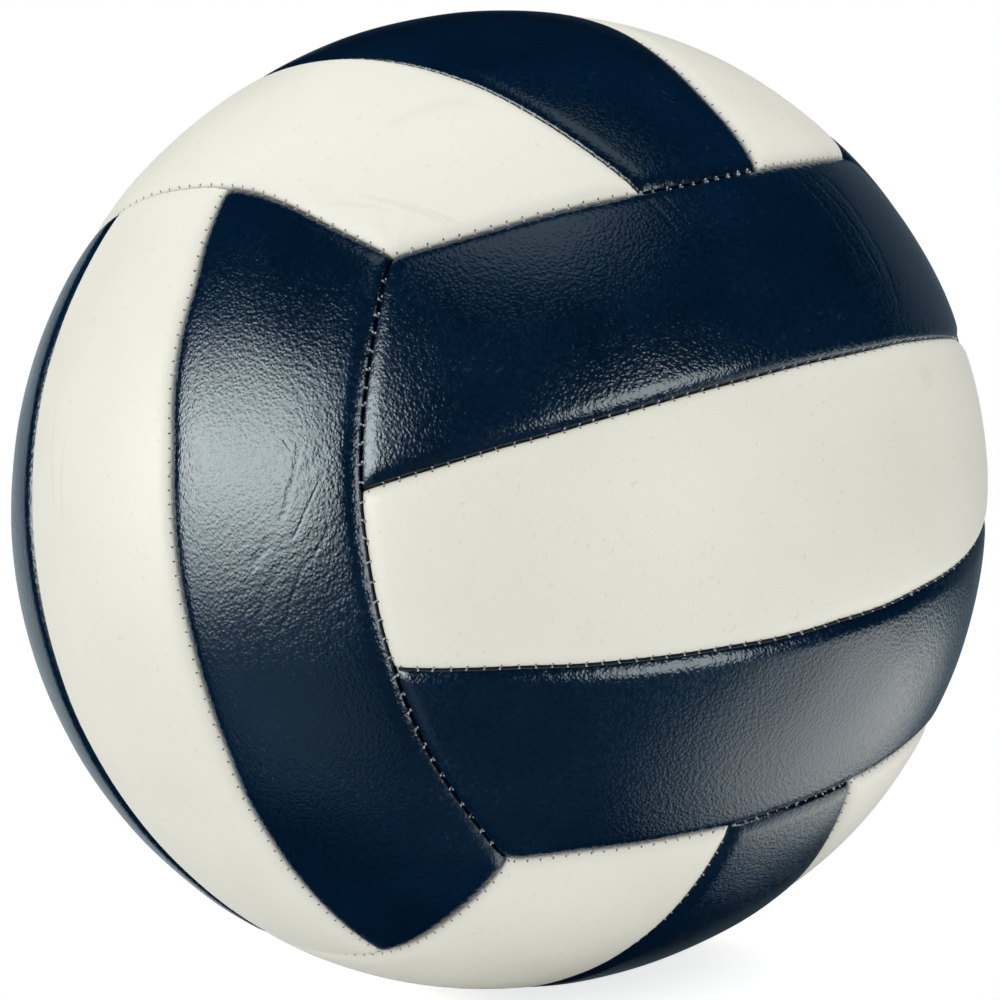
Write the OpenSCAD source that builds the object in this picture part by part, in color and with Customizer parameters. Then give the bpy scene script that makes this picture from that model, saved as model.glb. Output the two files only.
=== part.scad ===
// Sewn volleyball: eighteen padded panels in six groups of three parallel strips,
// over an inflated bladder with a needle valve.
// Millimetres and degrees. The origin is the ball's centre and +Z points up.
// The valve faces +Y, in the middle strip of the back group.

/* [Ball] */
// Diameter over the panels
ball_d = 210; // [200:1:220]

/* [Panel layers] */
// Thickness of the synthetic leather
cover_t = 0.8; // [0.6:0.1:1.1]
// Thickness of the foam under the leather
foam_t = 3; // [2.5:0.1:3.6]
// Thickness of the cloth lining under the foam
lining_t = 0.5; // [0.3:0.1:0.8]
// Radius of the rounded shoulder beside each seam
shoulder_r = 3; // [2.4:0.1:3.6]

/* [Seam pattern] */
// Angle from the middle of a group to the seams beside its middle strip
strip_seam_angle = 14.2; // [13:0.1:16]
// Lean of those seams, which sets how the strips change in width towards their ends
strip_seam_lean = 12.7; // [9:0.1:16]
// Angle by which the seam between two groups bows in at its middle
group_seam_bow = 7.6; // [5:0.1:9]
// Angle to the strip seams of the top group, which is sewn a little wider
top_strip_seam_angle = 16; // [14:0.1:17]
// Lean of the strip seams of the top group
top_strip_seam_lean = 19.8; // [15:0.1:22]
// Bow of the long edges of the top group
top_group_seam_bow = 3.4; // [3:0.1:8]

/* [Sewing] */
// Gap between two sewn panels
seam_gap = 0.3; // [0.2:0.05:0.5]
// Diameter of the sewing thread
thread_d = 0.6; // [0.4:0.05:0.8]

/* [Bladder] */
// Thickness of the bladder's wall
bladder_t = 0.7; // [0.5:0.1:1]

/* [Valve] */
// Diameter of the valve's head in the cover
head_d = 9; // [8.5:0.1:10]
// Depth of the head below the cover's surface
head_sink = 0.4; // [0.2:0.1:0.8]
// Diameter of the mouth that guides the needle
mouth_d = 7; // [6:0.1:7.5]
// Diameter of the flange bonded to the bladder
flange_d = 28; // [24:0.5:32]
// Thickness of the flange
flange_t = 1.2; // [1:0.1:1.6]
// Diameter of the stem inside the ball
stem_d = 8.4; // [8:0.1:9]
// Length of the stem below the flange
stem_l = 12; // [11:0.5:16]
// Thickness of the stem's closed end
stem_end_t = 2; // [1.5:0.1:3]
// Diameter of the air passage through that end
passage_d = 1.2; // [0.8:0.1:1.6]
// Diameter of the valve core
core_d = 4.8; // [4.4:0.1:5.2]
// Depth of the core below the cover's surface
core_sink = 2.4; // [2:0.1:3]
// Diameter of the collar that holds the core in its stem
collar_d = 6.2; // [5.6:0.1:6.6]
// Height of that collar
collar_t = 1.5; // [1:0.1:2]
// Diameter of the hole for the inflating needle
needle_d = 2.2; // [2:0.1:2.4]
// Length of the hole's straight wall
needle_l = 8; // [6:0.5:9]
// Diameter of the hole's flared entry
entry_d = 3.4; // [3:0.1:4]
// Depth of the flared entry
entry_l = 0.8; // [0.5:0.1:1.2]
// Width of the patch round the valve, from hole to rim
patch_w = 10; // [8:0.5:12]

/* [Fits] */
// Thickness of the glue between two layers
glue_t = 0.1; // [0.05:0.05:0.15]
// Gap between the panels and the bladder
bladder_gap = 0.2; // [0.1:0.05:0.3]
// Gap round the thread in its groove
thread_gap = 0.1; // [0.05:0.05:0.2]
// Gap round the valve's head, core and patch
valve_gap = 0.1; // [0.05:0.05:0.2]
// Length by which each thread stops short of the seams that it meets
thread_stop = 2; // [1.5:0.5:4]

/* [Hidden] */
$fn = 96;

// How far a cut runs past what it cuts
over = 4;
// The angles at which a rounded shoulder falls away from the cover's surface, one facet each
SLOPES = [25, 50];
// Angle from the middle of a group to the edge of the cube that the six groups follow
CUBE_ANGLE = 45;
// Each coordinate of a corner where three groups meet, on a ball of radius one
CORNER = 1 / sqrt(3);

// Radii of the layers, from the outside in
ball_r = ball_d / 2;
pocket_r = ball_r - cover_t;
foam_r = pocket_r - glue_t;
foam_in_r = foam_r - foam_t;
lining_r = foam_in_r - glue_t;
hem_r = lining_r - lining_t;
bladder_r = hem_r - bladder_gap;
bladder_in_r = bladder_r - bladder_t;
flange_r = bladder_in_r - glue_t;
flange_in_r = flange_r - flange_t;

// Distance of a layer's side from the cover's side
backing_inset = cover_t + glue_t;
half_gap = seam_gap / 2;

// Places along the valve's axis, from the ball's centre
head_r = ball_r - head_sink;
core_r = ball_r - core_sink;
needle_r = core_r - entry_l - needle_l;
stem_in_r = flange_in_r - stem_l;
bore_in_r = stem_in_r + stem_end_t;
core_in_r = bore_in_r + valve_gap;
collar_r = core_in_r + collar_t;

hole_d = head_d + 2 * valve_gap;
patch_d = hole_d + 2 * patch_w;

// Each group of strips: its name, the turn that brings +Z to its outward side and +X along its
// strips, and the names of the strips at its -Y and +Y sides before that turn.
GROUPS = [
    ["front", [90, 0, 0], "lower", "upper"],
    ["back", [-90, 0, 0], "upper", "lower"],
    ["left", [0, -90, 0], "front", "back"],
    ["right", [180, -90, 0], "back", "front"],
    ["top", [0, 0, 90], "right", "left"],
    ["bottom", [180, 0, 90], "left", "right"]
];
VALVE_GROUP = "back";
SIDES = [-1, 0, 1];

function strip_name(group, side) = side == 0 ? "middle" : side < 0 ? group[2] : group[3];
function panel_name(group, side, piece) = str(group[0], "_", strip_name(group, side), "_", piece);

// A seam is a circle on the ball. It is kept as [lean, cone]: its axis leans inwards by lean from
// the direction that lies across the strips, and cone is the angle from that axis to the seam.
function seam(angle, lean) = [lean, 90 - angle + lean];

// The lean with which a bowed seam still runs through both of its corners
function corner_lean(bow) =
    atan2(sin(CUBE_ANGLE - bow) - CORNER, cos(CUBE_ANGLE - bow) - CORNER);

function group_seam(bow) = seam(CUBE_ANGLE - bow, corner_lean(bow));

// The seam between a middle strip and its neighbour
function strip_seam(group) =
    group[0] == "top"
    ? seam(top_strip_seam_angle, top_strip_seam_lean)
    : seam(strip_seam_angle, strip_seam_lean);

// The seam along the outer side of a group's outer strips
function long_seam(group) =
    group_seam(group[0] == "top" ? top_group_seam_bow : group_seam_bow);

// The seam across the ends of a group's strips, which is the long seam of the group that they meet.
// Only the upper ends of the left and right groups meet the top group.
function end_seam(group, way) =
    group_seam(way > 0 && (group[0] == "left" || group[0] == "right") ? top_group_seam_bow : group_seam_bow);

// The angle at the ball's centre of a length on its surface
function arc_angle(length) = length / ball_r * 180 / PI;

// How far from the seam a facet of the shoulder would start to fall away
function facet_start(slope) =
    half_gap + shoulder_r * (1 - sin(slope) + (1 - cos(slope)) / tan(slope));

// Turn +Z to the axis of a seam that runs along the strips, and +X along them
module along_strips(seam, side) {
    rotate([0, 0, side < 0 ? 180 : 0])
        rotate([-90 - seam[0], 0, 0])
            children();
}

// Turn +Z to the axis of a seam across the strips' ends
module across_ends(seam, way) {
    rotate([0, -way * seam[0], 0]) children();
}

// One facet of a shoulder, about the seam's axis: the ball that holds all of the panel and falls
// away from the cover's surface at the slope. way is 1 for a panel on the axis's side of the seam
// and -1 for one beyond it, and inset moves the facet into the panel.
module facet(cone, way, slope, inset) {
    start = cone - way * arc_angle(facet_start(slope));
    tilt = start + way * slope;
    r = ball_r * sin(start) / sin(tilt);
    translate([0, 0, ball_r * cos(start) - r * cos(tilt)])
        sphere(r - inset);
}

module shoulder(cone, way, inset) {
    intersection_for (slope = SLOPES)
        facet(cone, way, slope, inset);
}

// The ball whose surface stands square on the cover along a seam, for the panel's wall there
module wall_ball(cone, way, inset) {
    translate([0, 0, ball_r / cos(cone)])
        sphere(ball_r * tan(cone) - way * (half_gap + inset));
}

// The same for a seam that is close to a great circle: a block that takes away all beyond a wall
module wall_block(cone, way, inset) {
    size = 4 * ball_r;
    wall = ball_r * cos(cone) + way * (half_gap + inset);
    translate([-size / 2, -size / 2, way > 0 ? wall - size : wall])
        cube(size);
}

// A full ball, turned so that its poles lie clear of every seam
module ball(r) {
    rotate([0, 90, CUBE_ANGLE]) sphere(r);
}

// The space of a panel inside its shoulders and the walls at its ends
module panel_space(group, side, inset) {
    intersection() {
        intersection_for (way = [-1, 1])
            across_ends(end_seam(group, way), way)
                intersection() {
                    wall_ball(end_seam(group, way)[1], 1, inset);
                    shoulder(end_seam(group, way)[1], 1, inset);
                }
        along_strips(strip_seam(group), side == 0 ? 1 : side)
            shoulder(strip_seam(group)[1], side == 0 ? -1 : 1, inset);
        if (side == 0)
            along_strips(strip_seam(group), -1) shoulder(strip_seam(group)[1], -1, inset);
        if (side != 0)
            along_strips(long_seam(group), side) shoulder(long_seam(group)[1], -1, inset);
    }
}

// What a panel's long walls leave out
module beyond_long_walls(group, side, inset) {
    if (side == 0) {
        along_strips(strip_seam(group), 1) wall_block(strip_seam(group)[1], -1, inset);
        along_strips(strip_seam(group), -1) wall_block(strip_seam(group)[1], -1, inset);
    } else {
        along_strips(strip_seam(group), side) wall_block(strip_seam(group)[1], 1, inset);
        along_strips(long_seam(group), side) wall_ball(long_seam(group)[1], -1, inset);
    }
}

// One layer of one panel, with the middle of its group at +Z
module layer(group, side, outer_r, inner_r, inset) {
    difference() {
        intersection() {
            ball(outer_r);
            panel_space(group, side, inset);
        }
        ball(inner_r);
        beyond_long_walls(group, side, inset);
    }
}

// A round cut along +Z through every layer between two radii
module bore(d, from_r, to_r) {
    translate([0, 0, from_r])
        cylinder(d = d, h = to_r - from_r);
}

function has_valve(group, side) = group[0] == VALVE_GROUP && side == 0;

// The top and bottom groups have their two colours the other way round.
function cover_colour(group, side) =
    (side == 0) == (group[0] == "top" || group[0] == "bottom") ? "midnightblue" : "whitesmoke";

// The leather of a panel, turned in along its edges as hems
module cover(group, side) {
    color(cover_colour(group, side))
        rotate(group[1])
            difference() {
                layer(group, side, ball_r, hem_r, 0);
                layer(group, side, pocket_r, hem_r - over, cover_t);
                if (has_valve(group, side)) bore(hole_d, hem_r - over, ball_r + over);
            }
}

// The foam in the pocket of the leather
module foam(group, side) {
    color("gainsboro")
        rotate(group[1])
            difference() {
                layer(group, side, foam_r, foam_in_r, backing_inset);
                if (has_valve(group, side)) bore(hole_d, hem_r - over, ball_r + over);
            }
}

// The cloth under the foam, which leaves room for the patch at the valve
module lining(group, side) {
    color("tan")
        rotate(group[1])
            difference() {
                layer(group, side, lining_r, hem_r, backing_inset);
                if (has_valve(group, side)) bore(patch_d + 2 * valve_gap, hem_r - over, ball_r + over);
            }
}

// Depth at which the thread rests on the two steepest facets of its groove
function thread_depth() =
    let (slope = SLOPES[len(SLOPES) - 1])
    facet_start(slope) * tan(slope) - (thread_d / 2 + thread_gap) / cos(slope);

// The thread of one seam, from one angle round the seam's axis to another. Angles are counted from
// the seam's middle, and the thread stops short at both ends.
module seam_thread(cone, from, to) {
    r = ball_r - thread_depth();
    stop = arc_angle(thread_stop) / sin(cone);
    rotate([0, 0, from + stop - 90])
        rotate_extrude(angle = to - from - 2 * stop)
            translate([r * sin(cone), r * cos(cone)])
                circle(d = thread_d, $fn = 24);
}

// The angle round a strip seam's axis at which it meets the seam across the strips' ends
function strip_end(strip, end) =
    let (
        a = sin(strip[1]) * cos(strip[0]) * cos(end[0]),
        b = sin(strip[1]) * sin(end[0]),
        c = cos(end[1]) + cos(strip[1]) * sin(strip[0]) * cos(end[0])
    )
    acos(c / norm([a, b])) - atan2(b, a);

// The angle round a group seam's axis at which it reaches its corner
function group_end(long) = acos(CORNER * (sin(long[0]) + cos(long[0])) / sin(long[1]));

module strip_seam_thread() {
    color("lightsteelblue")
        for (group = GROUPS, side = [-1, 1])
            rotate(group[1])
                along_strips(strip_seam(group), side)
                    seam_thread(
                        strip_seam(group)[1],
                        -strip_end(strip_seam(group), end_seam(group, -side)),
                        strip_end(strip_seam(group), end_seam(group, side))
                    );
}

module group_seam_thread() {
    color("lightsteelblue")
        for (group = GROUPS, side = [-1, 1])
            rotate(group[1])
                along_strips(long_seam(group), side)
                    seam_thread(long_seam(group)[1], -group_end(long_seam(group)), group_end(long_seam(group)));
}

// Put +Z on the valve's axis
module at_valve() {
    rotate([-90, 0, 0]) children();
}

module bladder() {
    color("dimgray")
        at_valve()
            difference() {
                ball(bladder_r);
                ball(bladder_in_r);
                bore(hole_d, bladder_in_r - over, bladder_r + over);
            }
}

// A round disc that follows the ball between two radii
module cap_ring(d, outer_r, inner_r) {
    intersection() {
        difference() {
            ball(outer_r);
            ball(inner_r);
        }
        bore(d, inner_r - over, outer_r + over);
    }
}

module valve_body() {
    color("black")
        at_valve()
            difference() {
                union() {
                    cap_ring(flange_d, flange_r, flange_in_r);
                    bore(head_d, flange_in_r, head_r);
                    bore(stem_d, stem_in_r, flange_in_r);
                }
                bore(core_d + 2 * valve_gap, bore_in_r, head_r + over);
                bore(collar_d + 2 * valve_gap, bore_in_r, collar_r + valve_gap);
                bore(passage_d, stem_in_r - over, bore_in_r + valve_gap);
                translate([0, 0, core_r])
                    cylinder(d1 = core_d + 2 * valve_gap, d2 = mouth_d, h = head_r - core_r);
                bore(mouth_d, head_r, head_r + over);
            }
}

module valve_core() {
    color("darkslategray")
        at_valve()
            difference() {
                union() {
                    bore(core_d, core_in_r, core_r);
                    bore(collar_d, core_in_r, collar_r);
                }
                bore(needle_d, needle_r, core_r);
                translate([0, 0, core_r - entry_l])
                    cylinder(d1 = needle_d, d2 = entry_d, h = entry_l);
                bore(entry_d, core_r, core_r + over);
            }
}

// The cloth ring that lines the cover round the valve
module valve_patch() {
    color("silver")
        at_valve()
            difference() {
                cap_ring(patch_d, lining_r, hem_r);
                bore(hole_d, hem_r - over, lining_r + over);
            }
}

for (group = GROUPS, side = SIDES) {
    cover(group, side);
    foam(group, side);
    lining(group, side);
}
strip_seam_thread();
group_seam_thread();
bladder();
valve_body();
valve_core();
valve_patch();
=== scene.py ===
import math

import bmesh
import bpy
import numpy as np
from mathutils import Matrix, Vector
from mathutils.geometry import delaunay_2d_cdt


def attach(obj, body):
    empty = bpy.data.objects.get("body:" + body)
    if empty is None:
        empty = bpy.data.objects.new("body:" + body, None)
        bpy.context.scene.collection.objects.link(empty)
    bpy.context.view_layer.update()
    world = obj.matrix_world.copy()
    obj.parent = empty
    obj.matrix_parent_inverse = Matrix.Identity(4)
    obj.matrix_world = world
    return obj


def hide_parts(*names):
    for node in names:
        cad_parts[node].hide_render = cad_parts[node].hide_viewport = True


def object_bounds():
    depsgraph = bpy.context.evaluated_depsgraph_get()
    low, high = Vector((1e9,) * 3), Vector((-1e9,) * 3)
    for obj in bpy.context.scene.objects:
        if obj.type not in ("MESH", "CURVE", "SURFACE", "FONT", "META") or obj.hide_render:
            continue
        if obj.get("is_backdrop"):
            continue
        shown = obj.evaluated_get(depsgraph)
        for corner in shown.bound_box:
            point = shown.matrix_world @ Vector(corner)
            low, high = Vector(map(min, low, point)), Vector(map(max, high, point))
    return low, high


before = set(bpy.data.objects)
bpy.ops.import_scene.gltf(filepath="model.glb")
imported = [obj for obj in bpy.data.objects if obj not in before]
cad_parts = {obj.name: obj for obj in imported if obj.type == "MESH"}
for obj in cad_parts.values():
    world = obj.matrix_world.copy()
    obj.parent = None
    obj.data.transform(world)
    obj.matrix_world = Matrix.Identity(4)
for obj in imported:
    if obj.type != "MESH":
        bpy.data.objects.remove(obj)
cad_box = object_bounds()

# Lengths below are millimetres, and a mesh is scaled to metres as it is made
MM = 0.001

# The camera: where it stands round the ball, and where the ball's centre lies in the picture
IMAGE_SIZE = 1000
CAMERA_AZIMUTH = -37.5
CAMERA_ELEVATION = 6.65
CAMERA_ROLL = -9.85
CAMERA_DISTANCE = 832
FOCAL_PIXELS = 3830
SENSOR_WIDTH = 36
BALL_PIXEL = (499.5, 500)

# The ball, as in the CAD model
BALL_R = 105
COVER_T = 0.8
HEM_R = 100.5
FOAM_IN_R = 101.1
GLUE_T = 0.1
HALF_GAP = 0.15
STRIP_SEAM = (14.2, 12.7)
TOP_STRIP_SEAM = (16, 19.8)
GROUP_BOW = 7.6
TOP_BOW = 3.4
CUBE_ANGLE = 45
CORNER = 1 / math.sqrt(3)
HOLE_R = 4.6
THREAD_STOP = 2

# Each group: its name, its turn, and the names of the strips at its -Y and +Y sides before it
GROUPS = (
    ("front", (90, 0, 0), "lower", "upper"),
    ("back", (-90, 0, 0), "upper", "lower"),
    ("left", (0, -90, 0), "front", "back"),
    ("right", (180, -90, 0), "back", "front"),
    ("top", (0, 0, 90), "right", "left"),
    ("bottom", (180, 0, 90), "left", "right"),
)
OTHER_WAY_ROUND = ("top", "bottom")

# The shoulder beside a seam: a tight round to a steep wall, a broad round before it, and a wide
# soft fall before that
TIGHT_R = 0.9
TIGHT_SLOPE = 75
BROAD_R = 6.5
BROAD_SLOPE = 28
PILLOW_DEPTH = 0.4
PILLOW_REACH = 5
SEAM_DEPTH = 1.7

# Ladder stitches
PITCH = 3.3
LEFT_STRIP_PITCH = 2.8
GROUP_PITCHES = {("left", -1): 3.8, ("front", 1): 3.1, ("front", -1): 2.7}
END_SEAMS = {("front", -1): ("left", -1), ("top", -1): ("front", 1), ("bottom", -1): ("front", -1)}
THREAD_R = 0.22
THREAD_SUNK = 0.2
LEFT_THREAD_SUNK = 0.06
PUCKER_DEPTH = 0.12
PUCKER_REACH = 1.3

# An inflated ball is a little out of round: its share along and across one slanting direction
LONG_ANGLE = 50
LONG_SHARE = 0.0125
SHORT_SHARE = 0.0045


def degrees_sin(angle):
    return math.sin(math.radians(angle))


def degrees_cos(angle):
    return math.cos(math.radians(angle))


def unit(vector):
    vector = np.asarray(vector, float)
    return vector / np.linalg.norm(vector, axis=-1, keepdims=True)


# Camera

def camera_axes():
    """The camera's right, up and backward directions."""
    back = np.array([
        degrees_sin(CAMERA_AZIMUTH) * degrees_cos(CAMERA_ELEVATION),
        -degrees_cos(CAMERA_AZIMUTH) * degrees_cos(CAMERA_ELEVATION),
        degrees_sin(CAMERA_ELEVATION),
    ])
    right = np.array([degrees_cos(CAMERA_AZIMUTH), degrees_sin(CAMERA_AZIMUTH), 0])
    up = np.cross(back, right)
    turn, rise = degrees_cos(CAMERA_ROLL), degrees_sin(CAMERA_ROLL)
    return right * turn + up * rise, up * turn - right * rise, back


RIGHT, UP, BACK = camera_axes()


def pixel_offset(pixel):
    """Sideways and upward slope of the line of sight through a pixel."""
    middle = IMAGE_SIZE / 2
    return (pixel[0] - middle) / FOCAL_PIXELS, (middle - pixel[1]) / FOCAL_PIXELS


def camera_place():
    across, upward = pixel_offset(BALL_PIXEL)
    return CAMERA_DISTANCE * (BACK - RIGHT * across - UP * upward)


def on_ball(pixel, radius=BALL_R):
    """The direction of the point of the ball, or of a sphere in it, that a pixel shows."""
    across, upward = pixel_offset(pixel)
    line = unit(RIGHT * across + UP * upward - BACK)
    start = camera_place()
    near = -start @ line
    reach = max(radius**2 - start @ start + near**2, 0)
    return unit(start + line * (near - math.sqrt(reach)))


def add_camera():
    data = bpy.data.cameras.new("camera")
    data.sensor_width = SENSOR_WIDTH
    data.lens = FOCAL_PIXELS / IMAGE_SIZE * SENSOR_WIDTH
    data.clip_start = 0.01
    data.clip_end = 20
    camera = bpy.data.objects.new("camera", data)
    turn = Matrix(np.stack([RIGHT, UP, BACK], 1).tolist()).to_4x4()
    camera.matrix_world = Matrix.Translation(Vector(camera_place() * MM)) @ turn
    bpy.context.scene.collection.objects.link(camera)
    bpy.context.scene.camera = camera


add_camera()


# Seams. A seam is a circle on the ball, kept as (lean, cone) in degrees

def seam(angle, lean):
    return lean, 90 - angle + lean


def group_seam(bow):
    rise = degrees_sin(CUBE_ANGLE - bow) - CORNER
    run = degrees_cos(CUBE_ANGLE - bow) - CORNER
    return seam(CUBE_ANGLE - bow, math.degrees(math.atan2(rise, run)))


def strip_seam(group):
    return seam(*(TOP_STRIP_SEAM if group == "top" else STRIP_SEAM))


def long_seam(group):
    return group_seam(TOP_BOW if group == "top" else GROUP_BOW)


def end_seam(group, way):
    return group_seam(TOP_BOW if way > 0 and group in ("left", "right") else GROUP_BOW)


def group_turn(angles):
    """The turn of a group as a matrix, about X, then Y, then Z."""
    turn = np.eye(3)
    for axis, angle in enumerate(angles):
        first, second = (axis + 1) % 3, (axis + 2) % 3
        step = np.eye(3)
        step[first, first] = step[second, second] = degrees_cos(angle)
        step[second, first] = degrees_sin(angle)
        step[first, second] = -degrees_sin(angle)
        turn = step @ turn
    return turn


class Circle:
    """One seam as a plane that cuts the unit ball, with an angle round it from its middle."""

    def __init__(self, lean_cone, along_strips, side, pitch):
        self.pitch = pitch
        lean, cone = lean_cone
        if along_strips:
            self.axis = np.array([0, side * degrees_cos(lean), -degrees_sin(lean)])
            self.start, outward = np.array([1.0, 0, 0]), np.array([0, 0, 1.0])
        else:
            self.axis = np.array([-side * degrees_sin(lean), 0, degrees_cos(lean)])
            self.start, outward = np.array([0, 1.0, 0]), np.array([side, 0, 0.0])
        self.cone = math.radians(cone)
        self.middle = unit(outward - (outward @ self.axis) * self.axis)

    def plane(self, flip=1):
        return flip * np.append(self.axis, math.cos(self.cone))

    def distance(self, at):
        return np.abs(np.arccos(np.clip(at @ self.axis, -1, 1)) - self.cone) * BALL_R

    def stitches(self, at):
        """How many stitches along the seam from its middle."""
        angle = np.arctan2(at @ self.start, at @ self.middle)
        return angle * math.sin(self.cone) * BALL_R / self.pitch

    def point(self, angle):
        angle = np.asarray(angle)[..., None]
        ring = self.middle * np.cos(angle) + self.start * np.sin(angle)
        return self.axis * math.cos(self.cone) + ring * math.sin(self.cone)


def strip_circle(group, side):
    pitch = LEFT_STRIP_PITCH if group == "left" else PITCH
    return Circle(strip_seam(group), True, side, pitch)


def long_circle(group, side):
    return Circle(long_seam(group), True, side, GROUP_PITCHES.get((group, side), PITCH))


def end_circle(group, way):
    pitch = GROUP_PITCHES.get(END_SEAMS.get((group, way)), PITCH)
    return Circle(end_seam(group, way), False, way, pitch)


def between(first, last, share):
    """The plane that lies between two, from -1 at the first to 1 at the last."""
    share = np.asarray(share)[..., None]
    return first * (1 - share) / 2 + last * (1 + share) / 2


def crossing(across, along):
    """Where two planes meet on the unit ball, on its outward side."""
    normal_a, normal_b = across[..., :3], along[..., :3]
    line = np.cross(normal_a, normal_b)
    size = (line**2).sum(-1, keepdims=True)
    near = (across[..., 3:] * np.cross(normal_b, line) + along[..., 3:] * np.cross(line, normal_a)) / size
    return near + line * np.sqrt((1 - (near**2).sum(-1, keepdims=True)) / size)


# The form of the leather

RANDOM = np.random.default_rng(7)

# Slight ripples of the leather: how many waves cross, their lengths, and the height of each
WAVE_COUNT = 26
WAVE_LENGTHS = (14, 42)
WAVE_HEIGHT = 0.012
WAVES = [
    (unit(RANDOM.normal(size=3)) * math.tau / RANDOM.uniform(*WAVE_LENGTHS), RANDOM.uniform(0, math.tau))
    for _ in range(WAVE_COUNT)
]


def out_of_round(at):
    """How far the whole ball stands out or in, for directions in the ball's own axes."""
    turn, rise = degrees_cos(LONG_ANGLE), degrees_sin(LONG_ANGLE)
    long_part = at @ (RIGHT * turn + UP * rise)
    short_part = at @ (UP * turn - RIGHT * rise)
    return BALL_R * (LONG_SHARE * long_part**2 - SHORT_SHARE * short_part**2)


# Where the photographed seams run a little beside the even pattern: a pixel of the seam, across and
# down, and the way to it from the pattern's own seam
PULLS = (
    (389, 257, -8, 4), (506, 861, 3, 0), (840, 159, -6, 1), (381, 300, -2, 3), (375, 330, 1, 2),
    (369, 372, 3, 0), (364, 405, 2, -2), (361, 440, 2, -3), (361, 489, 2, -6), (366, 536, 4, -5),
    (378, 608, 4, -3), (394, 668, 4, -2), (411, 713, 4, -2), (427, 751, 3, -2), (446, 780, 4, -2),
    (465, 806, 5, -4), (484, 831, 4, -4), (424, 250, -7, 5), (454, 240, -6, 3), (488, 229, -5, 1),
    (539, 215, -4, -1), (586, 204, -2, -1), (641, 193, 0, 1), (691, 184, 2, 3), (723, 176, 2, 1),
    (760, 168, 3, 0), (800, 162, -2, 1), (374, 248, -7, 4), (359, 240, -6, 4), (326, 225, -5, 4),
    (294, 209, -2, 1), (279, 200, -1, -3), (263, 194, 0, -6), (244, 188, 1, -8), (228, 186, 2, -7),
    (175, 190, 0, -4), (222, 199, 3, -6), (176, 353, 1, -4), (173, 523, 3, -2), (200, 672, 4, -1),
    (255, 815, 0, 2), (359, 938, 1, 4), (383, 953, 2, 3), (122, 208, -4, 2), (105, 233, -4, 1),
    (64, 316, -4, 1), (39, 407, -4, 0), (32, 505, -2, 0), (42, 603, -1, 0), (69, 699, -1, 1),
    (375, 487, 2, -4), (471, 456, 1, -3), (571, 427, 1, 0), (665, 400, 0, 1), (762, 375, 0, 2),
    (858, 352, 1, 3), (950, 342, -1, 4), (406, 667, 4, -3), (506, 666, 2, -4), (603, 662, 1, -2),
    (700, 650, 0, -1), (794, 633, 0, 1), (890, 603, 1, 1), (555, 130, -1, 2), (498, 95, 0, 1),
    (438, 71, -1, 2), (374, 59, 0, 3), (310, 61, 1, 4), (745, 143, 2, -1), (723, 117, -3, 2),
    (699, 92, -5, 4), (668, 64, -4, 5), (637, 43, -3, 5), (612, 31, -1, 4), (729, 826, -11, 2),
    (724, 838, -8, 3), (709, 863, -6, 2), (693, 887, -4, 2), (652, 930, -2, 1), (604, 963, 0, 0),
    (852, 783, -10, 2), (848, 800, -9, 3), (834, 829, -8, 1), (824, 847, -7, 0), (571, 852, -1, -1),
    (635, 845, -5, 1), (683, 836, -8, 1), (771, 810, -11, 0), (802, 801, -11, 1), (873, 767, -10, -1),
    (886, 758, -10, -3), (899, 744, -11, -6), (920, 731, -7, -3), (404, 947, 1, 3), (438, 926, 0, 0),
    (470, 901, 0, 0), (493, 880, 3, 1), (183, 600, 3, -1), (216, 720, 3, -1), (298, 881, -2, 2),
    (967, 562, 1, 1),
)

# The reach of a pull, and the weight that keeps the even pattern where no pull is near
PULL_REACH = 7
PULL_FLOOR = 0.2

# How deep in a seam lies the line that a camera sees: at the ball's outline, and its rise with how
# squarely the seam faces the camera
OUTLINE_DEPTH = 0.6
DEPTH_RISE = 1.7

# Facing below which a pull reaches further, and below which it is weaker, as its pixel says less
WIDE_FACING = 0.45
WEAK_FACING = 0.25


def pull_steps():
    for across, down, move_across, move_down in PULLS:
        start = on_ball((across - move_across, down - move_down))
        facing = start @ unit(camera_place() - start * BALL_R)
        shown_depth = min(SEAM_DEPTH, OUTLINE_DEPTH + DEPTH_RISE * facing)
        step = on_ball((across, down), BALL_R - shown_depth + out_of_round(start)) - start
        reach = PULL_REACH * min(max(WIDE_FACING / facing, 1), 2)
        yield start, step * min(facing / WEAK_FACING, 1), (BALL_R / reach) ** 2


PULL_STEPS = list(pull_steps())


def pulled(at):
    """Directions in the ball's own axes, moved to where the photographed seams run."""
    weight = np.full(at.shape[:-1], PULL_FLOOR)
    total = np.zeros_like(at)
    for start, step, narrowness in PULL_STEPS:
        near = np.exp((at @ start - 1) * narrowness)
        weight += near
        total += near[..., None] * step
    return unit(at + total / weight[..., None])


def ripples(at):
    return WAVE_HEIGHT * sum(np.cos(BALL_R * (at @ wave) + phase) for wave, phase in WAVES)


def shoulder_depth(distance):
    """How deep the leather lies at a distance from its edge."""
    distance = np.maximum(distance - HALF_GAP, 0)
    start = degrees_sin(BROAD_SLOPE)
    tight_reach = TIGHT_R * (degrees_sin(TIGHT_SLOPE) - start)
    in_tight = np.clip(tight_reach - distance, 0, None)
    in_broad = np.clip(tight_reach + BROAD_R * start - distance, 0, BROAD_R * start)
    broad = BROAD_R - np.sqrt(BROAD_R**2 - in_broad**2)
    tight = TIGHT_R * (degrees_cos(BROAD_SLOPE) - np.sqrt(1 - (start + in_tight / TIGHT_R) ** 2))
    return broad + tight + PILLOW_DEPTH * np.exp(-distance / PILLOW_REACH)


def pucker(circle, at):
    """The leather drawn in at each stitch."""
    wave = 0.5 + 0.5 * np.cos(math.tau * circle.stitches(at))
    return PUCKER_DEPTH * wave * np.exp(-np.maximum(circle.distance(at) - HALF_GAP, 0) / PUCKER_REACH)


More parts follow.
